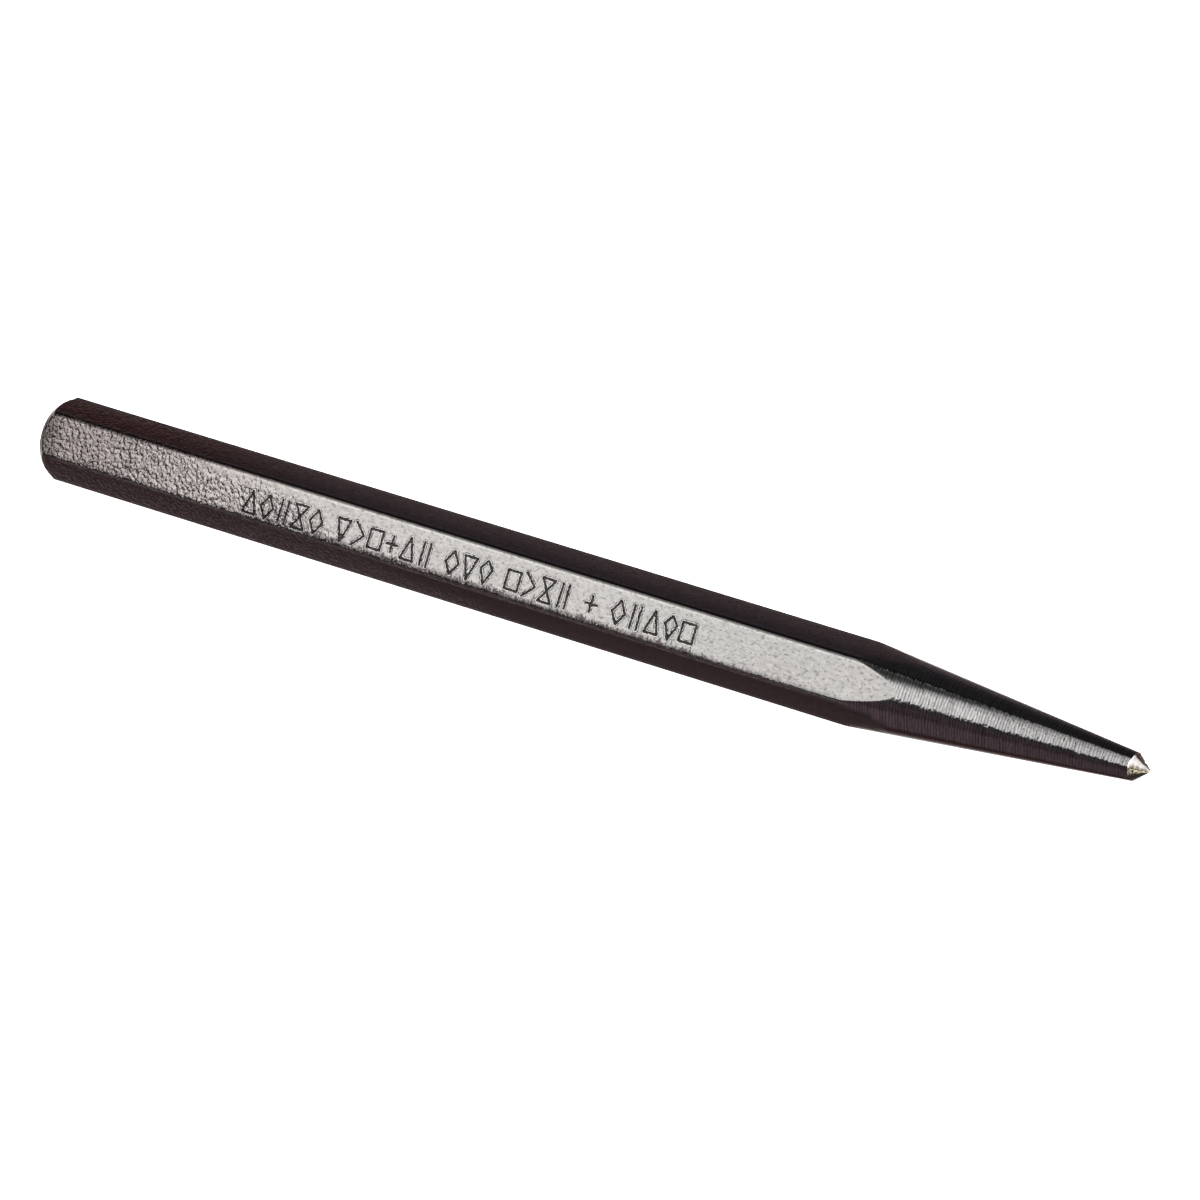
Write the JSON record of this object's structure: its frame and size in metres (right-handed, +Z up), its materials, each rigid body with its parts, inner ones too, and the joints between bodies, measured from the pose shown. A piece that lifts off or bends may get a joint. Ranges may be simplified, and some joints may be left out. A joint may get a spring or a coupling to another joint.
{
  "type": "center punch",
  "caption": "One-piece steel center punch: hexagonal black shank, chamfered struck end, long turned taper and a bright ground conical point.",
  "frame": {"origin": "under the middle of the punch's length, on the surface that it lies on", "axes": "+X along the bar from the struck end to the point, +Z up out of the flat that it lies on, +Y across the bar"},
  "size_m": [0.1016, 0.0072, 0.0063],
  "materials": {
    "black_oxide_steel": "black oxide over drawn bar, grainy near the struck end, lathe lines on the taper",
    "ground_steel": "bare steel, freshly ground, fine grinding marks around the cone"
  },
  "bodies": {
    "root": {"punch_body": "black_oxide_steel", "ground_point": "ground_steel"}
  },
  "joints": []
}
